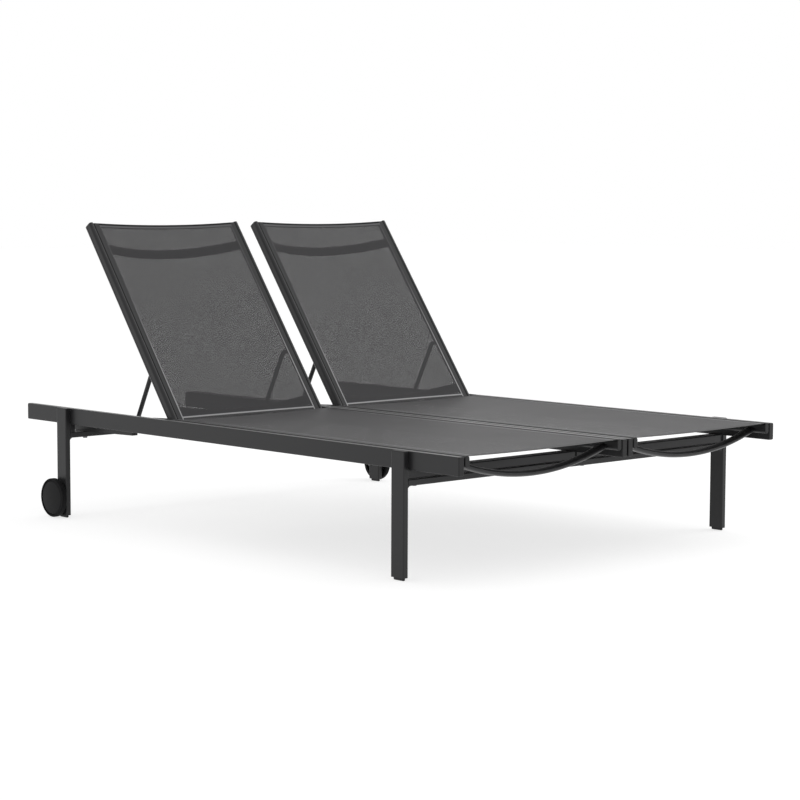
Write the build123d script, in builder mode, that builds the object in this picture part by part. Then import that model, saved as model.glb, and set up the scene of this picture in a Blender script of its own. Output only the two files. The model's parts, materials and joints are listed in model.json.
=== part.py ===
# Double chaise lounger for a patio: two sling loungers side by side on one low frame,
# each with its own reclining back, propped from behind by a hinged bail on notched racks.
# Millimetres. X across, the head end towards +Y, Z up. The floor is Z = 0, and the origin
# is the middle of the footprint. "left" is -X. Seen along X, a back at rest leans towards +Y.

import os
from math import asin, cos, degrees, radians, sin

from build123d import *

os.makedirs("parts", exist_ok=True)

# Overall sizes
frame_length = 2000.0
lounger_width = 665.0
rail_gap = 6.0  # between the two centre rails
rail_top = 351.0

# Side rails, rectangular tube
rail_width = 19.0
rail_height = 51.0
rail_wall = 1.8
rail_corner = 2.0
rail_cap_thickness = 3.0
rail_cap_corner = 4.5
cap_edge = 2.2
plug_length = 14.0
plug_clearance = 0.3

# Sling rails, obround extrusion with a channel for the sling's edge
sling_rail_width = 17.0
sling_rail_depth = 33.0
sling_rail_wall = 1.8
sling_rail_rise = 2.0  # above the side rails
sling_rail_slot = 4.0  # between side rail and sling rail
sling_cap_thickness = 3.0
channel_radius = 3.3
channel_inset = 1.5  # of the channel, towards the sling
groove_width = 1.6
groove_depth = 0.6
groove_drop = 5.5  # below the middle of the rail

# Slings and the splines in their edges
sling_thickness = 1.0
sling_drop = 1.6  # of the sling's top face, below the crown of its rails
channel_clearance = 0.3
spline_radius = 1.7
spline_clearance = 0.2
hem_width = 22.0
hem_thickness = 0.9

# Seat
seat_rail_setback = 26.0  # of its sling rails' rear ends, before the hinges
foot_spreader_inset = 57.0  # from the foot end
rear_spreader_setback = 63.7  # before the hinges
seat_spreader_drop = 7.5  # of the bar's ends, below the middle of the sling rails

# Bowed spreader bars, oval tube
spreader_width = 34.0
spreader_depth = 17.0
spreader_wall = 1.8
spreader_bow = 51.0
spreader_plug_width = 30.0
spreader_plug_depth = 12.8
spreader_plug_length = 3.0

# Fasteners of the seat's sling rails
seat_bolt_shares = (0.08, 0.48, 0.88)
seat_bolt_radius = 3.0
seat_bolt_head_radius = 5.5
seat_bolt_head_height = 3.0
seat_bolt_end = 8.0  # past the inner wall of the side rail
seat_spacer_radius = 7.5
hole_clearance = 0.25

# Backs
back_angle = 53.9  # from the horizontal, in the most upright notch
hinge_setback = 731.3  # from the head end
back_length = 739.0  # from the hinge to the top of the caps
back_tail = 16.0  # past the hinge
back_side_gap = 1.0  # between a back's rail and its hinge block
back_sling_start = 6.0
lower_spreader_reach = 50.0
upper_spreader_setback = 84.0  # below the top of the caps

# Hinge bolts
hinge_radius = 4.0
running_clearance = 0.05
side_play = 0.3
hinge_head_radius = 7.0
hinge_head_height = 3.2
hinge_washer_radius = 10.0

# Hinge blocks, moulded, on the side rails' inner walls, with a low tapered tail
block_width = 13.0
block_front = 23.0  # before the hinge
block_level = 20.0  # past the hinge, where the tail begins
block_tail = 95.0  # past the hinge
block_tail_drop = 3.5
block_heel = 60.0  # past the hinge, where the underside ends
block_tail_depth = 20.0
block_corner = 4.0
block_bolt_reach = 58.0  # past the hinge
block_bolt_sink = 4.0

# Prop bails, round rod
bail_radius = 7.0
bail_leg_gap = 19.0  # between a leg and the back's rail
bail_bend = 13.0  # of the centre line
bail_pivot_reach = 232.3  # from the hinge
bail_stub_reach = 9.0  # into the back's rail
bail_foot_setback = 246.5  # of the foot rod, past the hinges
bail_foot_gap = 2.0  # between the foot rod's end and the back's rail
bail_weld = 0.5  # stands proud of the rods where a leg meets the foot rod

# Racks
rack_width = 20.0
rack_depth = 18.0
rack_inset = 14.5  # of its middle, from the back's rail
rack_rise = 6.4  # of the notched arm, towards the foot end
rack_head_length = 85.0  # the level stretch on the cross tube
rack_tail = 31.0  # of it, past the cross tube
rack_tip_gap = 0.8  # between the foot rod and the tips of the rack
notch_count = 6
notch_pitch = 36.0
notch_play = 0.3
notch_ramp = 9.0
notch_wall = 2.5  # before the first notch
rack_cap_length = 5.0
rack_bolt_shift = 14.0

# Legs, cross tubes and stretchers
leg_thickness = 18.0
leg_width = 50.0
leg_wall = 2.0
leg_corner = 3.0
leg_inset = 216.0  # of its middle, from the end of the frame
leg_cap_thickness = 3.0
glide_height = 8.0
glide_inset = 5.0  # on every side of the leg
glide_bevel = 2.0
cross_depth = 18.0
stretcher_height = 26.0
cross_weld = 11.0
stretcher_width = 40.0
riser_clearance = 1.0

# Frame bolts, from below
frame_bolt_radius = 4.0
frame_bolt_head_radius = 7.2
frame_bolt_head_height = 4.5
frame_bolt_grip = 9.0
foot_bolt_outer_inset = 44.0
foot_bolt_centre_inset = 44.0

# Wheels
wheel_radius = 62.0
wheel_width = 20.0
tyre_thickness = 6.5
tyre_round = 3.5
wheel_bevel = 5.5
wheel_dome = 2.4
wheel_recess = 9.0
wheel_rim_wall = 5.0
wheel_hub_radius = 13.0
wheel_floor_gap = 1.5
wheel_shift = 20.0  # of the axle, from the leg's middle towards the head end
wheel_spacer_length = 8.0
wheel_spacer_radius = 11.0
axle_radius = 5.0
axle_seat = 14.0  # into the wheel
axle_head_radius = 9.0
axle_head_height = 5.0

# Places that follow from them
sides = {"left": -1, "right": 1}
half_length = frame_length / 2
foot_end = -half_length
lounger_centre = rail_gap / 2 + lounger_width / 2
rail_offset = lounger_width / 2 - rail_width / 2
rail_bottom = rail_top - rail_height
rail_middle = rail_top - rail_height / 2
rail_inner = rail_offset - rail_width / 2  # from the lounger's middle
frame_side = lounger_centre + lounger_width / 2

sling_offset = rail_inner - sling_rail_slot - sling_rail_width / 2
sling_middle = rail_top + sling_rail_rise - sling_rail_depth / 2
seat_half_span = sling_offset - sling_rail_width / 2
sling_arc = sling_rail_width / 2
sling_straight = sling_rail_depth - sling_rail_width
sling_level = sling_rail_depth / 2 - sling_drop  # top face, from the middle of a rail
channel_level = sling_level + channel_clearance - channel_radius
chamber_top = channel_level - channel_radius - sling_rail_wall
sling_margin = sling_cap_thickness + channel_clearance  # from a sling rail's end

hinge_y = half_length - hinge_setback
seat_rail_end = hinge_y - seat_rail_setback
seat_rail_length = seat_rail_end - foot_end
seat_bolt_places = [foot_end + share * seat_rail_length for share in seat_bolt_shares]

block_inner = rail_inner - block_width
block_bolt_y = hinge_y + block_bolt_reach
back_offset = block_inner - back_side_gap - sling_rail_width / 2
back_half_span = back_offset - sling_rail_width / 2
back_sling_end = back_length - sling_margin
upper_spreader_reach = back_length - upper_spreader_setback
hinge = Vector(0, hinge_y, sling_middle)
back_along = Vector(0, cos(radians(back_angle)), sin(radians(back_angle)))
back_front = Vector(0, -sin(radians(back_angle)), cos(radians(back_angle)))

tail_plug_length = back_tail - sling_cap_thickness - hinge_radius - plug_clearance

leg_y = half_length - leg_inset
leg_offset = frame_side + leg_thickness / 2
leg_bottom = glide_height
cross_top = rail_bottom - stretcher_height
cross_bottom = cross_top - cross_depth
cross_middle = cross_top - cross_depth / 2

bail_foot_y = hinge_y + bail_foot_setback
notch_radius = bail_radius + notch_play
arm_start = bail_foot_y - notch_radius - notch_wall
rack_stop = leg_y + leg_width / 2 + rack_tail
arm_end = rack_stop - rack_head_length
arm_slope = rack_rise / (arm_end - arm_start)
rack_centre = back_half_span - rack_inset
rack_bolt_y = leg_y - rack_bolt_shift
bail_half_width = back_half_span - bail_leg_gap - bail_radius
axle_y = leg_y + wheel_shift
axle_z = wheel_radius + wheel_floor_gap
wheel_inner = frame_side + leg_thickness + wheel_spacer_length


def rack_top(y):
    return cross_top + rack_depth + max(0.0, arm_end - y) * arm_slope


bail_pivot = hinge + back_along * bail_pivot_reach
bail_foot = Vector(0, bail_foot_y, rack_top(bail_foot_y) + rack_tip_gap + bail_radius)
bail_length = (bail_foot - bail_pivot).length
bail_along = (bail_foot - bail_pivot).normalized()
bail_leg_length = bail_length - 2 * bail_weld  # the end of a leg lies within its weld


def save(piece, name):
    piece.part.label = name
    export_step(piece.part, f"parts/{name}.step")


def side_plane(x, outward):
    """A plane across X at x, facing outward, with Y or -Y to its right and Z up."""
    return Plane(origin=(x, 0, 0), x_dir=(0, outward, 0), z_dir=(outward, 0, 0))


def section_plane(middle, inward, front):
    """A plane across a rail: its x points at the lounger's middle, its y at the sling's face."""
    across = Vector(inward, 0, 0)
    return Plane(origin=middle, x_dir=across, z_dir=across.cross(front))


def shifted(plane, x, y):
    """The plane with its origin moved along its own x and y."""
    return Plane(origin=plane.from_local_coords((x, y, 0)), x_dir=plane.x_dir, z_dir=plane.z_dir)


def end_plane(point, front, outward):
    """A plane on the end of a rail, facing outward, with its y at the sling's face."""
    return Plane(origin=point, x_dir=front.cross(outward), z_dir=outward)


# Pieces that repeat


def side_rail(x, inward):
    """A rectangular tube with holes for its sling rail's and hinge's bolts in the inner wall."""
    with BuildPart() as rail:
        with BuildSketch(shifted(Plane.XZ, x, rail_middle)):
            RectangleRounded(rail_width, rail_height, rail_corner)
            bore_width = rail_width - 2 * rail_wall
            Rectangle(bore_width, rail_height - 2 * rail_wall, mode=Mode.SUBTRACT)
        extrude(amount=half_length - rail_cap_thickness, both=True)
        with BuildSketch(side_plane(x, inward)):
            places = seat_bolt_places + [block_bolt_y]
            with Locations(*[(inward * y, sling_middle) for y in places]):
                Circle(seat_bolt_radius + hole_clearance)
            with Locations((inward * hinge_y, sling_middle)):
                Circle(hinge_radius + hole_clearance)
        extrude(amount=rail_width, mode=Mode.SUBTRACT)
    return rail


def sling_profile():
    """The obround extrusion: a chamber below, the edge channel above, open to the sling."""
    SlotOverall(sling_rail_depth, sling_rail_width, rotation=90)
    chamber()
    with Locations((channel_inset, channel_level)):
        Circle(channel_radius, mode=Mode.SUBTRACT)
    mouth = sling_thickness + 2 * channel_clearance
    with Locations((channel_inset, sling_level + channel_clearance)):
        Rectangle(sling_rail_width, mouth, align=(Align.MIN, Align.MAX), mode=Mode.SUBTRACT)
    with Locations((-sling_rail_width / 2, -groove_drop)):
        Rectangle(2 * groove_depth, groove_width, mode=Mode.SUBTRACT)


def chamber(clearance=0.0, mode=Mode.SUBTRACT):
    """The lower chamber of the extrusion, or with a clearance the plug that fits it."""
    radius = sling_arc - sling_rail_wall - clearance
    with Locations((0, -sling_straight / 2)):
        Circle(radius, mode=mode)
        height = sling_straight / 2 + chamber_top - clearance
        Rectangle(2 * radius, height, align=(Align.CENTER, Align.MIN), mode=mode)


def sling_cap(plane, plug=plug_length):
    """A plug-in end cap of a sling rail, with a rounded rim."""
    with BuildPart() as cap:
        with BuildSketch(plane):
            SlotOverall(sling_rail_depth, sling_rail_width, rotation=90)
        extrude(amount=sling_cap_thickness)
        fillet(cap.faces().filter_by(Axis(plane.origin, plane.z_dir)).sort_by(
            Axis(plane.origin, plane.z_dir))[-1].edges(), cap_edge)
        with BuildSketch(plane):
            chamber(plug_clearance, Mode.ADD)
        extrude(amount=-plug)
    return cap


def sling(base, half_width, start, end):
    """A taut panel with a sewn pocket along each side and a hem at each end.

    base lies in the middle of the rails: x across, y along them, z at the sling's face."""
    pocket_radius = channel_radius - channel_clearance
    middle = base.from_local_coords((0, (start + end) / 2, 0))
    across = Plane(origin=middle, x_dir=base.x_dir, z_dir=-base.y_dir)
    with BuildPart() as panel:
        with BuildSketch(across):
            with Locations((0, sling_level)):
                align = (Align.CENTER, Align.MAX)
                Rectangle(2 * half_width, sling_thickness, align=align)
            with Locations((-half_width, channel_level), (half_width, channel_level)):
                Circle(pocket_radius)
                Circle(spline_radius + spline_clearance, mode=Mode.SUBTRACT)
        extrude(amount=(end - start) / 2, both=True)
        hem_length = 2 * (half_width - sling_rail_width)
        with BuildSketch(base.offset(sling_level - sling_thickness)):
            with Locations((0, start + hem_width / 2), (0, end - hem_width / 2)):
                Rectangle(hem_length, hem_width)
        extrude(amount=-hem_thickness)
    return panel


def splines(base, half_width, start, end):
    """The two rods that hold a sling's pockets in their channels."""
    with BuildPart() as rods:
        with BuildSketch(Plane(origin=base.from_local_coords((0, start, 0)), x_dir=-base.x_dir,
                               z_dir=base.y_dir)):
            with Locations((-half_width, channel_level), (half_width, channel_level)):
                Circle(spline_radius)
        extrude(amount=end - start)
    return rods


def spreader(base, half_span):
    """A bowed oval tube between two sling rails, bowed away from the sling.

    base: x along the bar's chord, y along the rails, z at the sling's face."""
    bow_radius = (half_span**2 + spreader_bow**2) / (2 * spreader_bow)
    half_turn = degrees(asin(half_span / bow_radius))
    crown = base.from_local_coords((0, 0, -spreader_bow))
    middle = Plane(origin=crown, x_dir=base.y_dir, z_dir=base.x_dir)
    axis = Axis(base.from_local_coords((0, 0, bow_radius - spreader_bow)), -base.y_dir)
    reach = half_span - spreader_plug_length
    end = Plane(origin=base.from_local_coords((reach, 0, 0)), x_dir=base.y_dir, z_dir=base.x_dir)
    with BuildPart() as bar:
        with BuildSketch(middle):
            Ellipse(spreader_width / 2, spreader_depth / 2)
        revolve(axis=axis, revolution_arc=half_turn)
        split(bisect_by=end, keep=Keep.BOTTOM)
        with BuildSketch(middle):
            Ellipse(spreader_width / 2 - spreader_wall, spreader_depth / 2 - spreader_wall)
        hollow_turn = half_turn - degrees(2 * spreader_plug_length / bow_radius)
        revolve(axis=axis, revolution_arc=hollow_turn, mode=Mode.SUBTRACT)
        with BuildSketch(end):
            Ellipse(spreader_plug_width / 2, spreader_plug_depth / 2)
        extrude(amount=spreader_plug_length)
        mirror(about=middle)
    return bar


def bolt(plane, radius, length, head_radius, head_height):
    """A round-headed bolt: the shank runs back from the plane, the head stands on it."""
    with BuildPart() as piece:
        with BuildSketch(plane):
            Circle(head_radius)
        extrude(amount=head_height)
        top = piece.faces().sort_by(Axis(plane.origin, plane.z_dir))[-1]
        fillet(top.edges(), head_height / 3)
        with BuildSketch(plane):
            Circle(radius)
        extrude(amount=-length)
    return piece


def group(pieces):
    """Several separate solids as one builder."""
    with BuildPart() as together:
        for piece in pieces:
            add(piece.part)
    return together


# Side rails and their caps

rail_places = []
for side, sign in sides.items():
    rail_places.append((f"{side}_outer_rail", sign * lounger_centre + sign * rail_offset, -sign))
    rail_places.append((f"{side}_centre_rail", sign * lounger_centre - sign * rail_offset, sign))

for name, x, inward in rail_places:
    save(side_rail(x, inward), name)

rail_caps = []
for name, x, inward in rail_places:
    for end in (-1, 1):
        face = half_length - rail_cap_thickness
        plane = end_plane(Vector(x, end * face, rail_middle), Vector(0, 0, 1), Vector(0, end, 0))
        with BuildPart() as cap:
            with BuildSketch(plane):
                RectangleRounded(rail_width, rail_height, rail_cap_corner)
            extrude(amount=rail_cap_thickness)
            rim = cap.faces().sort_by(Axis.Y)[-1 if end > 0 else 0]
            fillet(rim.edges(), cap_edge)
            with BuildSketch(plane):
                inset = 2 * (rail_wall + plug_clearance)
                Rectangle(rail_width - inset, rail_height - inset)
            extrude(amount=-plug_length)
        rail_caps.append(cap)
save(group(rail_caps), "rail_end_caps")

# Seat: sling rails, caps, spacers and bolts

up = Vector(0, 0, 1)
sling_rail_places = []
for side, sign in sides.items():
    centre = sign * lounger_centre
    sling_rail_places.append((f"{side}_outer_seat_rail", centre + sign * sling_offset, -sign))
    sling_rail_places.append((f"{side}_centre_seat_rail", centre - sign * sling_offset, sign))

seat_rail_start = foot_end + sling_cap_thickness
seat_rail_stop = seat_rail_end - sling_cap_thickness
seat_caps = []
seat_spacers = []
seat_bolts = []
for name, x, inward in sling_rail_places:
    middle = Vector(x, (seat_rail_start + seat_rail_stop) / 2, sling_middle)
    outer_face = x - inward * sling_rail_width / 2
    inner_face = x + inward * sling_rail_width / 2
    with BuildPart() as rail:
        with BuildSketch(section_plane(middle, inward, up)):
            sling_profile()
        extrude(amount=(seat_rail_stop - seat_rail_start) / 2, both=True)
        with BuildSketch(side_plane(outer_face, inward)):
            with Locations(*[(inward * y, sling_middle) for y in seat_bolt_places]):
                Circle(seat_bolt_radius + hole_clearance)
        extrude(amount=sling_rail_width, mode=Mode.SUBTRACT)
    save(rail, name)

    for y, way in ((seat_rail_start, -1), (seat_rail_stop, 1)):
        seat_caps.append(sling_cap(end_plane(Vector(x, y, sling_middle), up, Vector(0, way, 0))))

    for y in seat_bolt_places:
        with BuildPart() as spacer:
            with BuildSketch(side_plane(outer_face, -inward)):
                with Locations((-inward * y, sling_middle)):
                    Circle(seat_spacer_radius)
                    Circle(seat_bolt_radius + hole_clearance, mode=Mode.SUBTRACT)
            extrude(amount=sling_rail_slot)
        seat_spacers.append(spacer)
        place = shifted(side_plane(inner_face, inward), inward * y, sling_middle)
        grip = sling_rail_width + sling_rail_slot + rail_wall + seat_bolt_end
        seat_bolts.append(bolt(place, seat_bolt_radius, grip, seat_bolt_head_radius,
                               seat_bolt_head_height))

# Hinge blocks between the side rails and the backs, with their bolts and washers

hinge_bolts = []
block_top = rail_top + sling_rail_rise
block_bottom = block_top - sling_rail_depth
for side, sign in sides.items():
    for out in (sign, -sign):
        centre = sign * lounger_centre
        face = side_plane(centre + out * block_inner, -out)
        pivot = shifted(face, -out * hinge_y, sling_middle)
        hold = shifted(face, -out * block_bolt_y, sling_middle)
        with BuildPart() as block:
            with BuildSketch(face):
                with BuildLine():
                    tail = hinge_y + block_tail
                    tail_top = block_top - block_tail_drop
                    Polyline((-out * (hinge_y - block_front), block_bottom),
                             (-out * (hinge_y - block_front), block_top),
                             (-out * (hinge_y + block_level), block_top),
                             (-out * tail, tail_top),
                             (-out * tail, tail_top - block_tail_depth),
                             (-out * (hinge_y + block_heel), block_bottom), close=True)
                outline = make_face()
                fillet(outline.vertices(), block_corner)
            extrude(amount=-block_width)
            with BuildSketch(pivot):
                Circle(hinge_radius + hole_clearance)
            extrude(amount=-block_width, mode=Mode.SUBTRACT)
            with BuildSketch(hold):
                Circle(seat_bolt_radius + hole_clearance)
            extrude(amount=-block_width, mode=Mode.SUBTRACT)
            with BuildSketch(hold):
                Circle(seat_bolt_head_radius + hole_clearance)
            extrude(amount=-block_bolt_sink, mode=Mode.SUBTRACT)
        seat_spacers.append(block)
        grip = block_width - block_bolt_sink + rail_wall + seat_bolt_end
        seat_bolts.append(bolt(hold.offset(-block_bolt_sink), seat_bolt_radius, grip,
                               seat_bolt_head_radius, seat_bolt_head_height))

        head = pivot.offset(back_side_gap + sling_rail_width + side_play)
        grip = side_play + sling_rail_width + back_side_gap + block_width + rail_wall + seat_bolt_end
        hinge_bolts.append(bolt(head, hinge_radius, grip, hinge_head_radius, hinge_head_height))
        with BuildPart() as washer:
            with BuildSketch(pivot):
                Circle(hinge_washer_radius)
                Circle(hinge_radius + hole_clearance, mode=Mode.SUBTRACT)
            extrude(amount=back_side_gap - side_play)
        hinge_bolts.append(washer)

save(group(seat_caps), "seat_rail_caps")
save(group(seat_spacers), "seat_rail_spacers")
save(group(seat_bolts), "seat_rail_bolts")
save(group(hinge_bolts), "hinge_bolts_and_washers")

# Seat: slings, splines and spreader bars

seat_sling_end = seat_rail_length - sling_margin
seat_splines = []
for side, sign in sides.items():
    base = Plane(origin=(sign * lounger_centre, foot_end, sling_middle))
    half_width = sling_offset - channel_inset
    save(sling(base, half_width, sling_margin, seat_sling_end), f"{side}_seat_sling")
    seat_splines.append(splines(base, half_width, sling_margin, seat_sling_end))
    spreader_places = (("foot", foot_end + foot_spreader_inset),
                       ("rear", hinge_y - rear_spreader_setback))
    for place, y in spreader_places:
        chord = Plane(origin=(sign * lounger_centre, y, sling_middle - seat_spreader_drop))
        save(spreader(chord, seat_half_span), f"{side}_{place}_spreader")
save(group(seat_splines), "seat_sling_splines")

# Backs

for side, sign in sides.items():
    centre = Vector(sign * lounger_centre, 0, 0)
    base = Plane(origin=hinge + centre, x_dir=(1, 0, 0), z_dir=back_front)
    start = sling_cap_thickness - back_tail
    stop = back_length - sling_cap_thickness
    caps = []
    for place, out in (("outer", sign), ("inner", -sign)):
        across = out * back_offset
        with BuildPart() as rail:
            middle = base.from_local_coords((across, (start + stop) / 2, 0))
            with BuildSketch(section_plane(middle, -out, back_front)):
                sling_profile()
            extrude(amount=(stop - start) / 2, both=True)
            face = base.from_local_coords((out * back_half_span, 0, 0))
            bores = Plane(origin=face, x_dir=base.y_dir, z_dir=(1, 0, 0))
            with BuildSketch(bores):
                Circle(hinge_radius + running_clearance)
            extrude(amount=out * sling_rail_width, mode=Mode.SUBTRACT)
            with BuildSketch(bores):
                with Locations((bail_pivot_reach, 0)):
                    Circle(bail_radius + running_clearance)
            extrude(amount=out * sling_rail_width / 2, mode=Mode.SUBTRACT)
        save(rail, f"{side}_back_{place}_rail")
        for reach, way, plug in ((start, -1, tail_plug_length), (stop, 1, plug_length)):
            point = base.from_local_coords((across, reach, 0))
            caps.append(sling_cap(end_plane(point, back_front, back_along * way), plug))
    save(group(caps), f"{side}_back_rail_caps")

    half_width = back_offset - channel_inset
    save(sling(base, half_width, back_sling_start, back_sling_end), f"{side}_back_sling")
    rods = splines(base, half_width, back_sling_start, back_sling_end)
    save(rods, f"{side}_back_sling_splines")
    for place, reach in (("lower", lower_spreader_reach), ("upper", upper_spreader_reach)):
        chord = Plane(origin=base.from_local_coords((0, reach, 0)), x_dir=(1, 0, 0), z_dir=back_front)
        save(spreader(chord, back_half_span), f"{side}_{place}_back_spreader")

# Prop bails: two legs with their tops bent out into the back's rails, and a foot rod

for side, sign in sides.items():
    origin = bail_pivot + Vector(sign * lounger_centre, 0, 0)
    bail_face = Vector(1, 0, 0).cross(bail_along)
    flat = Plane(origin=origin, x_dir=(1, 0, 0), z_dir=bail_face)
    stub_end = back_half_span + bail_stub_reach
    with BuildPart() as bail:
        for out in (-1, 1):
            corner = (out * bail_half_width, 0)
            with BuildLine(flat) as route:
                FilletPolyline((out * stub_end, 0), corner, (out * bail_half_width, bail_leg_length),
                               radius=bail_bend)
            tip = flat.from_local_coords((out * stub_end, 0, 0))
            with BuildSketch(Plane(origin=tip, z_dir=(-out, 0, 0))):
                Circle(bail_radius)
            sweep(path=route.line)
            with Locations(flat.from_local_coords((out * bail_half_width, bail_length, 0))):
                Sphere(bail_radius + bail_weld)
        rod_reach = back_half_span - bail_foot_gap
        middle = flat.from_local_coords((0, bail_length, 0))
        with BuildSketch(Plane(origin=middle, z_dir=(1, 0, 0))):
            Circle(bail_radius)
        extrude(amount=rod_reach, both=True)
        tips = bail.faces().filter_by(Axis.X).filter_by(GeomType.PLANE)
        chamfer(tips.edges(), bail_radius / 6)
    save(bail, f"{side}_prop_bail")

# Racks: notched arms on the head cross tube, with caps

rack_caps = []
rack_bolts = []
for side, sign in sides.items():
    for place, out in (("outer", sign), ("centre", -sign)):
        x = sign * lounger_centre + out * rack_centre
        bolt_place = Plane(origin=(x, rack_bolt_y, cross_bottom), z_dir=(0, 0, -1))
        with BuildPart() as rack:
            with BuildSketch(Plane.YZ.offset(x)):
                with BuildLine():
                    Polyline(
                        (arm_start, rack_top(arm_start) - rack_depth),
                        (arm_end, cross_top),
                        (rack_stop, cross_top),
                        (rack_stop, cross_top + rack_depth),
                        (arm_end, cross_top + rack_depth),
                        (arm_start, rack_top(arm_start)),
                        close=True,
                    )
                make_face()
                for step in range(notch_count):
                    y = bail_foot_y + step * notch_pitch
                    with Locations((y, rack_top(y))):
                        Circle(notch_radius, mode=Mode.SUBTRACT)
                    if step:
                        with BuildLine():
                            Polyline((y, rack_top(y) - notch_radius), (y, rack_top(y) + notch_radius),
                                     (y - notch_radius - notch_ramp, rack_top(y) + notch_radius),
                                     (y - notch_radius - notch_ramp, rack_top(y)), close=True)
                        make_face(mode=Mode.SUBTRACT)
            extrude(amount=rack_width / 2, both=True)
            with BuildSketch(bolt_place):
                Circle(frame_bolt_radius + hole_clearance)
            extrude(amount=-cross_depth - frame_bolt_grip - hole_clearance, mode=Mode.SUBTRACT)
        save(rack, f"{side}_{place}_rack")
        with BuildPart() as cap:
            face = Vector(x, arm_start, rack_top(arm_start) - rack_depth / 2)
            with BuildSketch(end_plane(face, up, Vector(0, -1, 0))):
                Rectangle(rack_width, rack_depth)
            extrude(amount=rack_cap_length)
            fillet(cap.faces().sort_by(Axis.Y)[0].edges(), cap_edge)
        rack_caps.append(cap)
        rack_bolts.append(bolt_place)
save(group(rack_caps), "rack_end_caps")

# Cross tubes, foot stretchers, risers and the bolts from below

foot_bolts = []
for sign in (-1, 1):
    for x in (frame_side - foot_bolt_outer_inset, rail_gap / 2 + foot_bolt_centre_inset):
        foot_bolts.append(Plane(origin=(sign * x, -leg_y, cross_bottom), z_dir=(0, 0, -1)))

for name, y, places in (("foot", -leg_y, foot_bolts), ("head", leg_y, rack_bolts)):
    with BuildPart() as cross:
        with BuildSketch(Plane(origin=(0, y, cross_middle), x_dir=(0, 1, 0), z_dir=(1, 0, 0))):
            RectangleRounded(leg_width, cross_depth, leg_corner)
            Rectangle(leg_width - 2 * leg_wall, cross_depth - 2 * leg_wall, mode=Mode.SUBTRACT)
        extrude(amount=frame_side, both=True)
        for out in (-1, 1):
            x = out * frame_side
            with BuildSketch(Plane(origin=(x, y, cross_bottom), x_dir=(-out, 0, 0),
                                   z_dir=(0, out, 0))):
                Rectangle(cross_weld, cross_weld, align=(Align.MIN, Align.MAX))
                with Locations((cross_weld, -cross_weld)):
                    Circle(cross_weld, mode=Mode.SUBTRACT)
            extrude(amount=leg_width / 2 - leg_corner, both=True)
        for place in places:
            with BuildSketch(place):
                Circle(frame_bolt_radius + hole_clearance)
            extrude(amount=-cross_depth, mode=Mode.SUBTRACT)
    save(cross, f"{name}_cross_tube")

for side, sign in sides.items():
    with BuildPart() as stretcher:
        middle = Vector(sign * lounger_centre, -leg_y, cross_top + stretcher_height / 2)
        with BuildSketch(Plane(origin=middle, x_dir=(0, 1, 0), z_dir=(1, 0, 0))):
            RectangleRounded(stretcher_width, stretcher_height, leg_corner)
            Rectangle(stretcher_width - 2 * leg_wall, stretcher_height - 2 * leg_wall,
                      mode=Mode.SUBTRACT)
        extrude(amount=lounger_width / 2, both=True)
        for place in foot_bolts:
            with BuildSketch(place.offset(-cross_depth)):
                Circle(frame_bolt_radius + hole_clearance)
            extrude(amount=-2 * leg_wall, mode=Mode.SUBTRACT)
    save(stretcher, f"{side}_foot_stretcher")

risers = []
for name, x, inward in rail_places:
    with BuildPart() as riser:
        with BuildSketch(Plane.XY.offset(cross_top)):
            with Locations((x, leg_y)):
                RectangleRounded(rail_width - riser_clearance, leg_width - riser_clearance, rail_corner)
        extrude(amount=stretcher_height)
    risers.append(riser)
save(group(risers), "head_risers")

frame_bolts = []
for place in foot_bolts + rack_bolts:
    frame_bolts.append(bolt(place, frame_bolt_radius, cross_depth + frame_bolt_grip,
                            frame_bolt_head_radius, frame_bolt_head_height))
save(group(frame_bolts), "frame_bolts")

# Legs, top caps and glides

leg_caps = []
glides = []
for end, y in (("foot", -leg_y), ("head", leg_y)):
    for side, sign in sides.items():
        x = sign * leg_offset
        with BuildPart() as leg:
            with BuildSketch(Plane.XY.offset(leg_bottom)):
                with Locations((x, y)):
                    RectangleRounded(leg_thickness, leg_width, leg_corner)
                    Rectangle(leg_thickness - 2 * leg_wall, leg_width - 2 * leg_wall,
                              mode=Mode.SUBTRACT)
            extrude(amount=rail_top - leg_cap_thickness - leg_bottom)
            if end == "head":
                with BuildSketch(Plane.YZ.offset(x)):
                    with Locations((axle_y, axle_z)):
                        Circle(axle_radius + hole_clearance)
                extrude(amount=leg_thickness, both=True, mode=Mode.SUBTRACT)
        save(leg, f"{side}_{end}_leg")
        plug = (leg_thickness - 2 * (leg_wall + plug_clearance),
                leg_width - 2 * (leg_wall + plug_clearance))
        with BuildPart() as cap:
            with BuildSketch(Plane.XY.offset(rail_top - leg_cap_thickness)):
                with Locations((x, y)):
                    RectangleRounded(leg_thickness, leg_width, leg_corner)
            extrude(amount=leg_cap_thickness)
            fillet(cap.faces().sort_by(Axis.Z)[-1].edges(), cap_edge)
            with BuildSketch(Plane.XY.offset(rail_top - leg_cap_thickness)):
                with Locations((x, y)):
                    Rectangle(*plug)
            extrude(amount=-plug_length)
        leg_caps.append(cap)
        with BuildPart() as glide:
            with BuildSketch(Plane.XY):
                with Locations((x, y)):
                    RectangleRounded(leg_thickness - 2 * glide_inset, leg_width - 2 * glide_inset,
                                     leg_corner)
            extrude(amount=glide_height)
            chamfer(glide.faces().sort_by(Axis.Z)[0].edges(), glide_bevel)
            with BuildSketch(Plane.XY.offset(glide_height)):
                with Locations((x, y)):
                    Rectangle(*plug)
            extrude(amount=plug_length)
        glides.append(glide)
save(group(leg_caps), "leg_top_caps")
save(group(glides), "leg_glides")

# Wheels on the head legs

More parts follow.
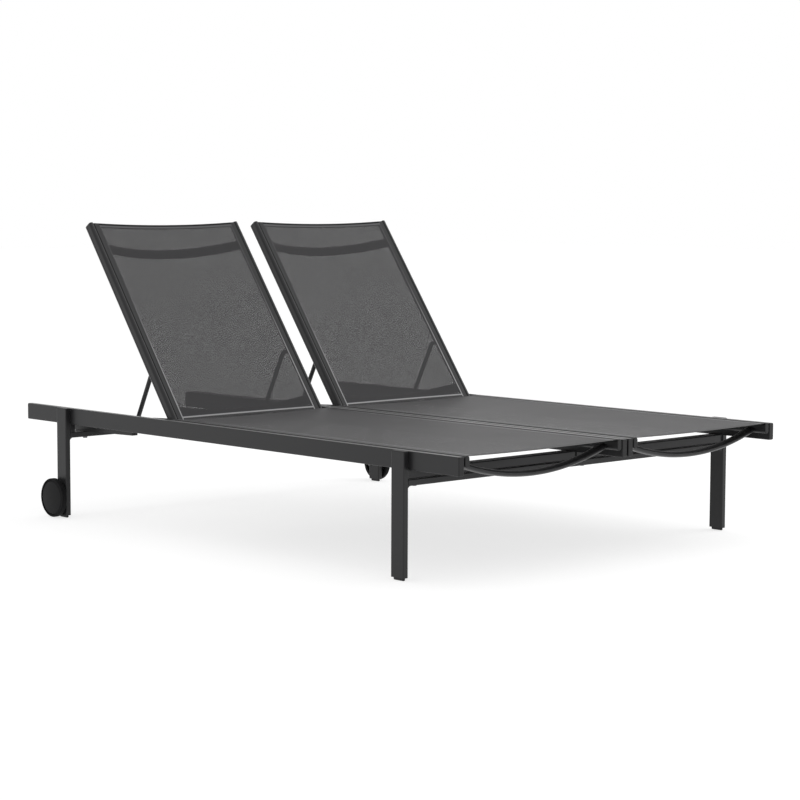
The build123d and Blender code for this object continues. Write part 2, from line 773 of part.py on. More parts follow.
axle_bolts = []
wheel_spacers = []
for side, sign in sides.items():
    hub_plane = shifted(side_plane(sign * wheel_inner, sign), sign * axle_y, axle_z)
    turn = Plane(origin=hub_plane.origin, x_dir=(0, 0, 1), z_dir=hub_plane.x_dir)
    disc_radius = wheel_radius - tyre_thickness
    shoulder = wheel_width - wheel_dome
    with BuildPart() as wheel:
        with BuildSketch(turn):
            with BuildLine():
                # x is the radius, y the distance out from the leg's side
                Polyline((axle_radius + running_clearance, 0), (wheel_hub_radius, 0),
                         (wheel_hub_radius, wheel_recess), (disc_radius - wheel_rim_wall, wheel_recess),
                         (disc_radius - wheel_rim_wall, 0), (disc_radius, 0),
                         (disc_radius, shoulder - wheel_bevel / 2),
                         (disc_radius - wheel_bevel, shoulder))
                TangentArc((0, wheel_width), (disc_radius - wheel_bevel, shoulder), tangent=(1, 0))
                Polyline((0, wheel_width), (0, axle_seat), (axle_radius + running_clearance, axle_seat),
                         (axle_radius + running_clearance, 0))
            make_face()
        revolve(axis=Axis(hub_plane.origin, hub_plane.z_dir))
    save(wheel, f"{side}_wheel")
    with BuildPart() as tyre:
        with BuildSketch(turn):
            with Locations((disc_radius, 0)):
                tread = wheel_width - wheel_dome
                Rectangle(tyre_thickness, tread, align=(Align.MIN, Align.MIN))
        revolve(axis=Axis(hub_plane.origin, hub_plane.z_dir))
        rims = tyre.edges().filter_by(GeomType.CIRCLE).group_by(SortBy.RADIUS)[-1]
        fillet(rims, tyre_round)
    save(tyre, f"{side}_tyre")

    with BuildPart() as spacer:
        with BuildSketch(hub_plane):
            Circle(wheel_spacer_radius)
            Circle(axle_radius + hole_clearance, mode=Mode.SUBTRACT)
        extrude(amount=side_play - wheel_spacer_length)
    wheel_spacers.append(spacer)
    head_plane = Plane(origin=hub_plane.origin, x_dir=hub_plane.x_dir, z_dir=-hub_plane.z_dir)
    head_plane = head_plane.offset(wheel_spacer_length + leg_thickness)
    shank = leg_thickness + wheel_spacer_length + axle_seat - side_play
    axle_bolts.append(bolt(head_plane, axle_radius, shank, axle_head_radius, axle_head_height))
save(group(axle_bolts), "axle_bolts")
save(group(wheel_spacers), "wheel_spacers")
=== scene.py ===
"""Double chaise lounger: the finish of its frame, its four woven slings, and the studio.

Metres, in the frame's own axes: X across, the head end towards +Y, Z up, the floor at 0.
"""

import json
import math

import bmesh
import bpy
from bpy.props import FloatProperty, FloatVectorProperty, IntProperty, PointerProperty
from mathutils import Matrix, Vector


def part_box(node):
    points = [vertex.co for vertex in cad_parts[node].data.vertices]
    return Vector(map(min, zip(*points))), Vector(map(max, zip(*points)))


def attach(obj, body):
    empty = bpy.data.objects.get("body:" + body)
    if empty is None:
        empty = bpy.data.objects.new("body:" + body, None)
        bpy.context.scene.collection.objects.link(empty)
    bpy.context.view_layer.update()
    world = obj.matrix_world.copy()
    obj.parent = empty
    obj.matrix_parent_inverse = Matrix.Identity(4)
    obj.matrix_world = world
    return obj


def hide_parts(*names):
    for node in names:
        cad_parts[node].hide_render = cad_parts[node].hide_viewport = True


bl_info = {
    "name": "Double Chaise Lounger",
    "version": (1, 0, 0),
    "blender": (4, 5, 0),
    "location": "3D View > Sidebar > Lounger",
    "description": "Finishes the frame, slings and studio of a double sling lounger",
    "category": "Object",
}

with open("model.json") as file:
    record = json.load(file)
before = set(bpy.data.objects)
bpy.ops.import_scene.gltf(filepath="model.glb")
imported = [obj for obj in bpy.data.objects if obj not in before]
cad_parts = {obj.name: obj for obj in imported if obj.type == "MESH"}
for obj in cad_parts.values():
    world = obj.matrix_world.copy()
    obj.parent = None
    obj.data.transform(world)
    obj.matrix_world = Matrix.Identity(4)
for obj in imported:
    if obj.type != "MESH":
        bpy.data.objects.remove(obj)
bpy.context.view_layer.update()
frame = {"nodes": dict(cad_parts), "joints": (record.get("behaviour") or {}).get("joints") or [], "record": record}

SIDES = ("left", "right")
PIVOTS = {joint["name"]: Vector(joint["pos_m"]) for joint in frame["joints"]}

# Softboxes: name, setting of its power, side, place and the point that it faces
SOFTBOXES = (
    ("Top Softbox", "top_light", 4.0, (0.4, 0.2, 4.2), (0.0, 0.0, 0.3)),
    ("Right Softbox", "key_light", 2.6, (3.6, -2.0, 3.2), (0.0, 0.0, 0.4)),
)

# Tone and dust of every finish; the scales are per metre
CLOUD_SCALE = 7.0
SPECK_SCALE = 160.0
DUST_COLOUR = (0.42, 0.41, 0.39, 1.0)
DUST_FOCUS = 4.0
ROUGHNESS_SWING = 0.10


# Sizes and colours that a user would change


class SlingSizes(bpy.types.PropertyGroup):
    back_angle: FloatProperty(
        name="Back Angle", description="Slope of the backs at rest, from the horizontal",
        default=math.radians(53.9), subtype="ANGLE")
    cloth_thickness: FloatProperty(
        name="Cloth Thickness", description="Thickness of one layer of the woven mesh",
        default=0.0004, unit="LENGTH")
    sling_level: FloatProperty(
        name="Sling Level", description="Top face of a sling above the middle of its rails",
        default=0.0149, unit="LENGTH")
    tuck: FloatProperty(
        name="Tuck", description="How far the visible sheet runs into the rail's channel",
        default=0.0035, unit="LENGTH")
    mouth_dip: FloatProperty(
        name="Mouth Dip", description="Drop of the sheet where it enters the rail",
        default=0.0008, unit="LENGTH")
    mouth_slope: FloatProperty(
        name="Mouth Slope", description="Steepness of that drop across the pocket",
        default=1.6)
    mouth_lip: FloatProperty(
        name="Mouth Lip",
        description="Share of the pocket, from the rail, where the drop is all but full",
        default=0.4, subtype="FACTOR")
    seat_sag: FloatProperty(
        name="Seat Sag", description="Dip of a seat's sling between its rails",
        default=0.0030, unit="LENGTH")
    back_sag: FloatProperty(
        name="Back Sag", description="Dip of a back's sling between its rails",
        default=0.0050, unit="LENGTH")
    head_bow: FloatProperty(
        name="Head Bow", description="How far tension draws in the free edge at the head",
        default=0.0070, unit="LENGTH")
    hinge_bow: FloatProperty(
        name="Hinge Bow", description="How far tension draws in the free edge at the hinge",
        default=0.0035, unit="LENGTH")
    bow_reach: FloatProperty(
        name="Bow Reach", description="Length over which a drawn-in edge eases out",
        default=0.15, unit="LENGTH")
    # The pocket strip is black: painted shade for the shadow in the rail's slot, partly the dark spline cord
    # inside it
    pocket: FloatProperty(
        name="Pocket", description="Width of the dark pocket between the rail and the hem",
        default=0.0036, unit="LENGTH")
    side_hem: FloatProperty(
        name="Side Hem", description="Width of the doubled cloth beside a rail",
        default=0.0165, unit="LENGTH")
    pocket_lift: FloatProperty(
        name="Pocket Lift", description="How far the pocket stands above the sheet",
        default=0.00005, unit="LENGTH")
    hem_lift: FloatProperty(
        name="Hem Lift", description="How far the doubled cloth stands above the sheet",
        default=0.00035, unit="LENGTH")
    seam_width: FloatProperty(
        name="Seam Width", description="Width of the welded seam beside a hem",
        default=0.0040, unit="LENGTH")
    seam_lift: FloatProperty(
        name="Seam Lift", description="How far the seam stands above the sheet",
        default=0.0006, unit="LENGTH")
    seat_end_hem: FloatProperty(
        name="Seat End Hem", description="Width of the doubled cloth across a seat's ends",
        default=0.0140, unit="LENGTH")
    hinge_hem: FloatProperty(
        name="Hinge Hem", description="Width of the doubled cloth across a back's lower end",
        default=0.0065, unit="LENGTH")
    hinge_seam: FloatProperty(
        name="Hinge Seam", description="Width of the welded seam above it",
        default=0.0050, unit="LENGTH")
    head_cord: FloatProperty(
        name="Head Cord", description="Width of the dark cord across a back's upper end",
        default=0.0075, unit="LENGTH")
    # The fold's pale colour is a painted highlight, for light caught on the rounded fold
    head_fold_painted_highlight: FloatProperty(
        name="Head Fold", description="Width of the pale fold under it",
        default=0.0060, unit="LENGTH")
    head_hem: FloatProperty(
        name="Head Hem", description="Width of the doubled cloth under the fold",
        default=0.0035, unit="LENGTH")
    # Painted highlight: a back's seams are pale near the hinge and darken into the cloth between these two places
    back_seam_painted_highlight: FloatVectorProperty(
        name="Back Seam Fade", description="Where a back's seams begin and end to darken",
        default=(0.05, 0.55), unit="LENGTH", size=2)
    # The same painted highlight on a seat's seams, pale towards the foot end
    seat_seam_painted_highlight: FloatVectorProperty(
        name="Seat Seam Fade", description="The same on a seat",
        default=(0.0, 0.23), unit="LENGTH", size=2)
    weave_pitch: FloatProperty(
        name="Weave Pitch", description="Distance between yarns",
        default=0.0018, unit="LENGTH")
    back_opening: FloatProperty(
        name="Back Opening",
        description="Height on a yarn's round, from gap to crown, that stays open on a back",
        default=0.70, subtype="FACTOR")
    seat_opening: FloatProperty(
        name="Seat Opening", description="The same on a seat, whose yarns lie pressed flat",
        default=0.45, subtype="FACTOR")
    cloth_extra: FloatProperty(
        name="Cloth Extra",
        description="How far a back's sheet runs on past its solid at the hinge",
        default=0.0030, unit="LENGTH")
    segments: IntProperty(
        name="Segments", description="Divisions across a sling", default=24)


class FinishColours(bpy.types.PropertyGroup):
    powder_coat: FloatVectorProperty(
        name="Powder Coat", description="Charcoal coat of the aluminium frame",
        default=(0.0170, 0.0170, 0.0181), subtype="COLOR", size=3)
    cloth: FloatVectorProperty(
        name="Cloth", description="Yarn of the slings",
        default=(0.029, 0.028, 0.030), subtype="COLOR", size=3)
    hem: FloatVectorProperty(
        name="Hem", description="Doubled cloth of the hems",
        default=(0.020, 0.020, 0.021), subtype="COLOR", size=3)
    # Pale colour of the fold at a back's head: a painted highlight on the rounded cloth
    head_hem: FloatVectorProperty(
        name="Head Hem", description="Folded cloth under the edge at the head",
        default=(0.095, 0.095, 0.098), subtype="COLOR", size=3)
    # The seams' pale colour is a painted highlight, for light caught on their smooth raised ridge
    seam: FloatVectorProperty(
        name="Seam", description="Welded seam beside a hem",
        default=(0.27, 0.27, 0.275), subtype="COLOR", size=3)
    plastic: FloatVectorProperty(
        name="Plastic", description="Caps, glides and spacers",
        default=(0.011, 0.011, 0.0118), subtype="COLOR", size=3)
    wheel: FloatVectorProperty(
        name="Wheel", description="Moulded wheels",
        default=(0.0065, 0.0065, 0.0070), subtype="COLOR", size=3)
    rubber: FloatVectorProperty(
        name="Rubber", description="Treads of the wheels",
        default=(0.006, 0.006, 0.0065), subtype="COLOR", size=3)
    fastener: FloatVectorProperty(
        name="Fastener", description="Plated bolts and washers",
        default=(0.12, 0.12, 0.12), subtype="COLOR", size=3)


class StudioSettings(bpy.types.PropertyGroup):
    azimuth: FloatProperty(
        name="Azimuth", description="Camera's turn round the lounger",
        default=math.radians(-43.2294), subtype="ANGLE")
    elevation: FloatProperty(
        name="Elevation", description="Camera's height above the horizon",
        default=math.radians(5.3017), subtype="ANGLE")
    roll: FloatProperty(
        name="Roll", description="Camera's tilt about its own axis",
        default=math.radians(0.2193), subtype="ANGLE")
    distance: FloatProperty(
        name="Distance", description="Camera's distance from its target",
        default=6.92565, unit="LENGTH")
    target: FloatVectorProperty(
        name="Target", description="Point that the camera looks at",
        default=(0.043885, -0.017045, 0.388989), subtype="TRANSLATION", size=3)
    lens: FloatProperty(
        name="Lens", description="Focal length on a 36 mm sensor", default=99.015)
    floor_size: FloatProperty(
        name="Floor Size", description="Side of the studio floor", default=60.0, unit="LENGTH")
    floor_grey: FloatProperty(
        name="Floor Grey", description="Grey of the floor as it lights the lounger",
        default=0.80, subtype="FACTOR")
    ambient: FloatProperty(
        name="Ambient", description="Strength of the studio's even light", default=0.70)
    reflected_low: FloatProperty(
        name="Reflected Low", description="Strength of the backdrop as gloss shows it",
        default=1.05)
    reflected_high: FloatProperty(
        name="Reflected High", description="Strength of the ceiling as gloss shows it",
        default=0.75)
    backdrop_rise: FloatProperty(
        name="Backdrop Rise", description="Upward share of a ray where the backdrop ends",
        default=0.10, subtype="FACTOR")
    ceiling_rise: FloatProperty(
        name="Ceiling Rise", description="Upward share of a ray where the ceiling begins",
        default=0.50, subtype="FACTOR")
    top_light: FloatProperty(
        name="Top Light", description="Power of the overhead softbox, in watts", default=30.0)
    key_light: FloatProperty(
        name="Key Light", description="Power of the softbox at the right, in watts", default=50.0)
    floor_glow: FloatProperty(
        name="Floor Glow", description="Light of the floor itself, in the picture and in gloss",
        default=0.73)
    floor_gain: FloatProperty(
        name="Floor Gain", description="Share of the floor's grey that the picture and gloss show",
        default=0.50)


# Shader node groups that several finishes share


def node_group(name, inputs, outputs):
    """A new shader node group with named sockets, and its input and output nodes."""
    group = bpy.data.node_groups.new(name, "ShaderNodeTree")
    for label, kind, value in inputs:
        socket = group.interface.new_socket(name=label, in_out="INPUT", socket_type=kind)
        socket.default_value = value
    for label, kind in outputs:
        group.interface.new_socket(name=label, in_out="OUTPUT", socket_type=kind)
    return group, group.nodes.new("NodeGroupInput"), group.nodes.new("NodeGroupOutput")


def math_node(tree, operation, first, second=None, third=None):
    """A Math node; each operand is a number or an output socket."""
    node = tree.nodes.new("ShaderNodeMath")
    node.operation = operation
    for socket, value in zip(node.inputs, (first, second, third)):
        if value is None:
            continue
        if isinstance(value, (int, float)):
            socket.default_value = value
        else:
            tree.links.new(value, socket)
    return node.outputs[0]


def grain_group():
    """Fine orange peel or moulded grain, from Object coordinates."""
    group, given, result = node_group(
        "Fine Grain",
        [("Size", "NodeSocketFloat", 0.002), ("Depth", "NodeSocketFloat", 0.5)],
        [("Height", "NodeSocketFloat")])
    place = group.nodes.new("ShaderNodeTexCoord")
    noise = group.nodes.new("ShaderNodeTexNoise")
    noise.inputs["Detail"].default_value = 3.0
    group.links.new(place.outputs["Object"], noise.inputs["Vector"])
    group.links.new(math_node(group, "DIVIDE", 1.0, given.outputs["Size"]), noise.inputs["Scale"])
    height = math_node(group, "MULTIPLY", noise.outputs["Fac"], given.outputs["Depth"])
    group.links.new(height, result.inputs["Height"])
    return group


def handling_group():
    """Slow tone changes and a trace of dust on faces that look up.

    Roughness follows the tone; a higher focus keeps the dust to more level faces."""
    group, given, result = node_group(
        "Handling Tone",
        [("Base", "NodeSocketColor", (0.1, 0.1, 0.1, 1.0)), ("Spread", "NodeSocketFloat", 0.15),
         ("Dust", "NodeSocketFloat", 0.05), ("Roughness", "NodeSocketFloat", 0.5)],
        [("Color", "NodeSocketColor"), ("Roughness", "NodeSocketFloat")])
    place = group.nodes.new("ShaderNodeTexCoord")
    cloud = group.nodes.new("ShaderNodeTexNoise")
    cloud.inputs["Scale"].default_value = CLOUD_SCALE
    cloud.inputs["Detail"].default_value = 4.0
    group.links.new(place.outputs["Object"], cloud.inputs["Vector"])
    swing = math_node(group, "SUBTRACT", cloud.outputs["Fac"], 0.5)
    tone = math_node(group, "MULTIPLY_ADD", swing, given.outputs["Spread"], 1.0)
    shade = group.nodes.new("ShaderNodeMix")
    shade.data_type = "RGBA"
    shade.blend_type = "MULTIPLY"
    shade.inputs["Factor"].default_value = 1.0
    grey = group.nodes.new("ShaderNodeCombineColor")
    for channel in ("Red", "Green", "Blue"):
        group.links.new(tone, grey.inputs[channel])
    group.links.new(given.outputs["Base"], shade.inputs["A"])
    group.links.new(grey.outputs["Color"], shade.inputs["B"])
    facing = group.nodes.new("ShaderNodeNewGeometry")
    split = group.nodes.new("ShaderNodeSeparateXYZ")
    group.links.new(facing.outputs["Normal"], split.inputs["Vector"])
    upward = math_node(group, "MAXIMUM", split.outputs["Z"], 0.0)
    speck = group.nodes.new("ShaderNodeTexNoise")
    speck.inputs["Scale"].default_value = SPECK_SCALE
    group.links.new(place.outputs["Object"], speck.inputs["Vector"])
    level = math_node(group, "POWER", upward, DUST_FOCUS)
    settled = math_node(group, "MULTIPLY", level, speck.outputs["Fac"])
    dust = math_node(group, "MULTIPLY", settled, given.outputs["Dust"])
    dusty = group.nodes.new("ShaderNodeMix")
    dusty.data_type = "RGBA"
    dusty.inputs["B"].default_value = DUST_COLOUR
    group.links.new(dust, dusty.inputs["Factor"])
    group.links.new(shade.outputs["Result"], dusty.inputs["A"])
    group.links.new(dusty.outputs["Result"], result.inputs["Color"])
    rough = math_node(group, "MULTIPLY_ADD", swing, ROUGHNESS_SWING, given.outputs["Roughness"])
    group.links.new(rough, result.inputs["Roughness"])
    return group


def weave_group():
    """Plain weave of round yarns on the piece's own map, in metres."""
    group, given, result = node_group(
        "Open Weave",
        [("Pitch", "NodeSocketFloat", 0.0017), ("Opening", "NodeSocketFloat", 0.39)],
        [("Height", "NodeSocketFloat"), ("Cover", "NodeSocketFloat"),
         ("Warp", "NodeSocketFloat")])
    place = group.nodes.new("ShaderNodeUVMap")
    split = group.nodes.new("ShaderNodeSeparateXYZ")
    group.links.new(place.outputs["UV"], split.inputs["Vector"])
    turns = math_node(group, "DIVIDE", math.pi, given.outputs["Pitch"])
    waves = []
    for axis in ("X", "Y"):
        angle = math_node(group, "MULTIPLY", split.outputs[axis], turns)
        waves.append(math_node(group, "SINE", angle))
    across, along = (math_node(group, "ABSOLUTE", wave) for wave in waves)
    over = math_node(group, "GREATER_THAN", math_node(group, "MULTIPLY", *waves), 0.0)
    under = math_node(group, "SUBTRACT", 1.0, over)
    warp_high = math_node(group, "MULTIPLY", across, over)
    weft_high = math_node(group, "MULTIPLY", along, under)
    group.links.new(math_node(group, "MAXIMUM", warp_high, weft_high), result.inputs["Height"])
    gaps = [math_node(group, "LESS_THAN", side, given.outputs["Opening"])
            for side in (across, along)]
    hole = math_node(group, "MULTIPLY", *gaps)
    group.links.new(math_node(group, "SUBTRACT", 1.0, hole), result.inputs["Cover"])
    group.links.new(over, result.inputs["Warp"])
    return group


# Finishes


class Finish:
    """A material with one Principled BSDF, and short ways to place shared groups in it."""

    def __init__(self, name, **constants):
        self.material = bpy.data.materials.new(name)
        self.material.use_nodes = True
        self.tree = self.material.node_tree
        self.shader = self.tree.nodes["Principled BSDF"]
        for socket, value in constants.items():
            label = socket.replace("_", " ").title().replace("Ior", "IOR")
            self.shader.inputs[label].default_value = value

    def place(self, group, **values):
        """A shared group in this finish, with its own values."""
        node = self.tree.nodes.new("ShaderNodeGroup")
        node.node_tree = group
        for label, value in values.items():
            node.inputs[label.replace("_", " ").title()].default_value = value
        return node

    def feed(self, output, socket):
        """Link an output to a socket of the shader."""
        self.tree.links.new(output, self.shader.inputs[socket])

    def mix(self, blend, factor, first, second):
        """A colour mix; first and second are colours or output sockets."""
        node = self.tree.nodes.new("ShaderNodeMix")
        node.data_type = "RGBA"
        node.blend_type = blend
        self.tree.links.new(factor, node.inputs["Factor"])
        for label, value in (("A", first), ("B", second)):
            if isinstance(value, tuple):
                node.inputs[label].default_value = value
            else:
                self.tree.links.new(value, node.inputs[label])
        return node.outputs["Result"]

    def bump(self, height, depth):
        """Relief of the surface, depth metres where height is 1."""
        node = self.tree.nodes.new("ShaderNodeBump")
        node.inputs["Distance"].default_value = depth
        self.tree.links.new(height, node.inputs["Height"])
        self.feed(node.outputs["Normal"], "Normal")


def coated(name, colour, tone, grain, roughness, spread=0.16, dust=0.03, size=0.0015,
           depth=0.00003, **constants):
    """A painted or moulded finish: toned colour, and a grain of this size and depth."""
    finish = Finish(name, **constants)
    toned = finish.place(tone, base=(*colour, 1.0), spread=spread, dust=dust, roughness=roughness)
    finish.feed(toned.outputs["Color"], "Base Color")
    finish.feed(toned.outputs["Roughness"], "Roughness")
    grained = finish.place(grain, size=size, depth=1.0)
    finish.bump(grained.outputs["Height"], depth)
    return finish.material


def woven(name, colour, tone, weave, pitch, opening, specular=0.30, warp=(0.86, 0.86, 0.87),
          relief=0.000012):
    """Vinyl-coated yarn in a plain weave, with openings between the yarns.

    warp tints the yarns that run along the sling, and relief is their height."""
    finish = Finish(name, specular_ior_level=specular, sheen_weight=0.10, sheen_roughness=0.5)
    toned = finish.place(tone, base=(*colour, 1.0), spread=0.10, dust=0.02, roughness=0.55)
    yarns = finish.place(weave, pitch=pitch, opening=opening)
    tint = finish.mix("MULTIPLY", yarns.outputs["Warp"], toned.outputs["Color"], (*warp, 1.0))
    finish.feed(tint, "Base Color")
    finish.feed(toned.outputs["Roughness"], "Roughness")
    if opening > 0:
        finish.feed(yarns.outputs["Cover"], "Alpha")
    finish.bump(yarns.outputs["Height"], relief)
    return finish.material


def welded_painted_highlight(name, pale, dark, tone, grain, painted_highlight_span):
    """A smooth seam whose colour eases from a pale painted highlight to the cloth's dark between two places along
    the sling's own map.
    """
    finish = Finish(name)
    place = finish.tree.nodes.new("ShaderNodeUVMap")
    split = finish.tree.nodes.new("ShaderNodeSeparateXYZ")
    finish.tree.links.new(place.outputs["UV"], split.inputs["Vector"])
    ease = finish.tree.nodes.new("ShaderNodeMapRange")
    ease.interpolation_type = "SMOOTHSTEP"
    finish.tree.links.new(split.outputs["Y"], ease.inputs["Value"])
    for label, place_along in zip(("From Min", "From Max"), painted_highlight_span):
        ease.inputs[label].default_value = place_along
    colour = finish.mix("MIX", ease.outputs["Result"], (*pale, 1.0), (*dark, 1.0))
    toned = finish.place(tone, spread=0.12, dust=0.02, roughness=0.42)
    finish.tree.links.new(colour, toned.inputs["Base"])
    finish.feed(toned.outputs["Color"], "Base Color")
    finish.feed(toned.outputs["Roughness"], "Roughness")
    grained = finish.place(grain, size=0.0008, depth=1.0)
    finish.bump(grained.outputs["Height"], depth=0.00006)
    return finish.material


def finishes():
    """Every finish of the lounger, by the name of the slot or band that it fills."""
    colours = bpy.context.scene.lounger_colours
    sizes = bpy.context.scene.lounger_slings
    grain, tone, weave = grain_group(), handling_group(), weave_group()
    pitch = sizes.weave_pitch
    return {
        "frame": coated("Charcoal Powder Coat", colours.powder_coat, tone, grain,
                        roughness=0.38, specular_ior_level=0.36, sheen_weight=0.50,
                        sheen_roughness=0.25),
        "black_plastic": coated("Black Nylon", colours.plastic, tone, grain,
                                roughness=0.42, size=0.0009, specular_ior_level=0.32),
        "wheel": coated("Moulded Wheel", colours.wheel, tone, grain,
                        roughness=0.46, size=0.0009, specular_ior_level=0.12),
        "tyre": coated("Tread Rubber", colours.rubber, tone, grain,
                       roughness=0.70, size=0.0012, depth=0.00008, specular_ior_level=0.15),
        "steel": coated("Plated Steel", colours.fastener, tone, grain,
                        roughness=0.38, size=0.0006, depth=0.00004, metallic=1.0),
        # Dark spline cord; the same finish fills the pocket strips as painted shade in the rails' slots
        "spline": coated("Spline Cord", colours.rubber, tone, grain,
                         roughness=0.60, specular_ior_level=0.20),
        "mesh": woven("Back Mesh", colours.cloth, tone, weave, pitch, sizes.back_opening),
        "seat_mesh": woven("Seat Mesh", colours.cloth, tone, weave, pitch, sizes.seat_opening,
                           specular=0.38),
        "hem": woven("Hem Cloth", colours.hem, tone, weave, pitch, opening=0.0),
        # Finish of the fold at a back's head, whose pale colour is a painted highlight
        "head_hem": woven("Head Hem", colours.head_hem, tone, weave, pitch, opening=0.0),
        # Seams whose pale colour is a painted highlight that darkens along the sling
        "back_seam": welded_painted_highlight("Back Seam", colours.seam, colours.cloth, tone, grain,
                            sizes.back_seam_painted_highlight),
        "seat_seam": welded_painted_highlight("Seat Seam", colours.seam, colours.cloth, tone, grain,
                            sizes.seat_seam_painted_highlight),
    }


class LOUNGER_OT_finish_frame(bpy.types.Operator):
    """Give every rigid piece of the frame its finish"""

    bl_idname = "lounger.finish_frame"
    bl_label = "Finish Frame"

    def execute(self, context):
        made = finishes()
        for part in frame["record"]["subparts"]:
            node = frame["nodes"][part["node"]]
            node.data.materials.clear()
            node.data.materials.append(made[part["material_slot"]])
        return {"FINISHED"}


# Slings


class Sling:
    """A sling's plan, its sag and its drawn-in ends: x across, y along, z out of its face."""

    def __init__(self, half_width, start, end, sag, start_bow=0.0, end_bow=0.0):
        self.half_width = half_width
        self.start, self.end = start, end
        self.sag = sag
        self.start_bow, self.end_bow = start_bow, end_bow
        self.sizes = bpy.context.scene.lounger_slings

    def drape(self, mesh):
        """Bring a flat band to the sling's real form."""
        sizes = self.sizes
        for vert in mesh.verts:
            spread = max(0.0, 1 - (vert.co.x / self.half_width) ** 2)
            near_start = max(0.0, 1 - (vert.co.y - self.start) / sizes.bow_reach)
            near_end = max(0.0, 1 - (self.end - vert.co.y) / sizes.bow_reach)
            vert.co.y += spread * (self.start_bow * near_start - self.end_bow * near_end)
            inside = self.half_width - abs(vert.co.x)
            mouth = min(1.0, max(0.0, sizes.mouth_slope * (1 - inside / sizes.pocket)))
            vert.co.z -= self.sag * spread + sizes.mouth_dip * mouth

    def band(self, across, along, columns, rows, level, thickness, cuts=()):
        """A closed band of the sling, from its plan; level is its face's, above the sheet's.

        The weave of its lower face is turned, so that no gaps line up at a low view."""
        mesh = bmesh.new()
        maps = mesh.loops.layers.uv.new("UVMap")
        bmesh.ops.create_grid(mesh, x_segments=columns, y_segments=rows, size=0.5)
        middle = Vector(((across[0] + across[1]) / 2, (along[0] + along[1]) / 2, level))
        size = Vector((across[1] - across[0], along[1] - along[0], 1))
        bmesh.ops.scale(mesh, verts=mesh.verts, vec=size)
        bmesh.ops.translate(mesh, verts=mesh.verts, vec=middle)
        for cut in cuts:
            bmesh.ops.bisect_plane(mesh, geom=mesh.verts[:] + mesh.edges[:] + mesh.faces[:],
                                   plane_co=(cut, 0, 0), plane_no=(1, 0, 0))
        for face in mesh.faces:
            for loop in face.loops:
                loop[maps].uv = loop.vert.co.xy
        self.drape(mesh)
        bmesh.ops.recalc_face_normals(mesh, faces=mesh.faces)
        if sum(face.normal.z for face in mesh.faces) < 0:
            bmesh.ops.reverse_faces(mesh, faces=mesh.faces)
        bmesh.ops.solidify(mesh, geom=mesh.verts[:] + mesh.edges[:] + mesh.faces[:],
                           thickness=thickness)
        bmesh.ops.recalc_face_normals(mesh, faces=mesh.faces)
        crossed = Matrix.Rotation(math.radians(45), 2)
        for face in mesh.faces:
            if face.normal.z < 0:
                for loop in face.loops:
                    loop[maps].uv = crossed @ loop[maps].uv
        return mesh

    def sheet(self):
        """The woven sheet, with cuts where it turns down into the rails."""
        sizes = self.sizes
        shoulder = self.half_width - sizes.pocket
        lip = self.half_width - sizes.mouth_lip * sizes.pocket
        return self.band((-self.half_width, self.half_width), (self.start, self.end),
                         sizes.segments, 2 * sizes.segments, 0.0, sizes.cloth_thickness,
                         cuts=(-lip, -shoulder, shoulder, lip))

    def sides(self, outer, inner, lift, cuts=()):
        """A band along each side, outer and inner from the rails, over both faces."""
        meshes = []
        thickness = self.sizes.cloth_thickness + 2 * lift
        for way in (-1, 1):
            across = sorted((way * (self.half_width - outer), way * (self.half_width - inner)))
            bends = [way * (self.half_width - cut) for cut in cuts]
            meshes.append(self.band(across, (self.start, self.end), 2, 2 * self.sizes.segments,
                                    lift, thickness, cuts=bends))
        return meshes

    def across_end(self, at_end, outer, inner, lift):
        """A band across one end between the side hems, outer and inner from that end."""
        wide = self.half_width - self.sizes.pocket - self.sizes.side_hem
        if at_end:
            along = (self.end - inner, self.end - outer)
        else:
            along = (self.start + outer, self.start + inner)
        thickness = self.sizes.cloth_thickness + 2 * lift
        return self.band((-wide, wide), along, self.sizes.segments, 1, lift, thickness)


def piece(name, meshes, place, material, smooth=False):
    """One object from several bmeshes, set in place, with one finish."""
    data = bpy.data.meshes.new(name)
    whole = bmesh.new()
    for mesh in meshes:
        part = bpy.data.meshes.new("part")
        mesh.to_mesh(part)
        mesh.free()
        whole.from_mesh(part)
        bpy.data.meshes.remove(part)
    bmesh.ops.transform(whole, matrix=place, verts=whole.verts)
    for face in whole.faces:
        face.smooth = smooth
    whole.to_mesh(data)
    whole.free()
    data.materials.append(material)
    obj = bpy.data.objects.new(name, data)
    bpy.context.scene.collection.objects.link(obj)
    return obj


def make_sling(name, node, body, place, sling, mesh_finish, seam_finish, end_bands):
    """The woven sheet of one sling, with its pocket strips of painted slot shade, its hems, and its seams with a
    painted highlight.

    place maps the sling's plan to the lounger's own axes. end_bands lists the bands across its
    ends: the finish, the piece that the band belongs to, whether it is at the far end, its outer
    and inner distance from that end, and its lift."""
    sizes = sling.sizes
    cloth = piece(name, [sling.sheet()], place, bpy.data.materials[mesh_finish], smooth=True)
    hem_end = sizes.pocket + sizes.side_hem
    seam_end = hem_end + sizes.seam_width
    trims = {
        # Black strips beside the rails: painted shade where the slot's shadow falls, partly the spline cord
        "Spline Cord": ("pockets", sling.sides(0.0, sizes.pocket, sizes.pocket_lift,
                                               cuts=[sizes.mouth_lip * sizes.pocket])),
        "Hem Cloth": ("hems", sling.sides(sizes.pocket, hem_end, sizes.hem_lift)),
        seam_finish: ("seams", sling.sides(hem_end, seam_end, sizes.seam_lift)),
    }
    for finish, label, *band in end_bands:
        trims.setdefault(finish, (label, []))[1].append(sling.across_end(*band))
    pieces = []
    for finish, (label, meshes) in trims.items():
        pieces.append(piece(f"{name}_{label}", meshes, place, bpy.data.materials[finish]))
    for obj in (cloth, *pieces):
        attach(obj, body)
    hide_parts(node)


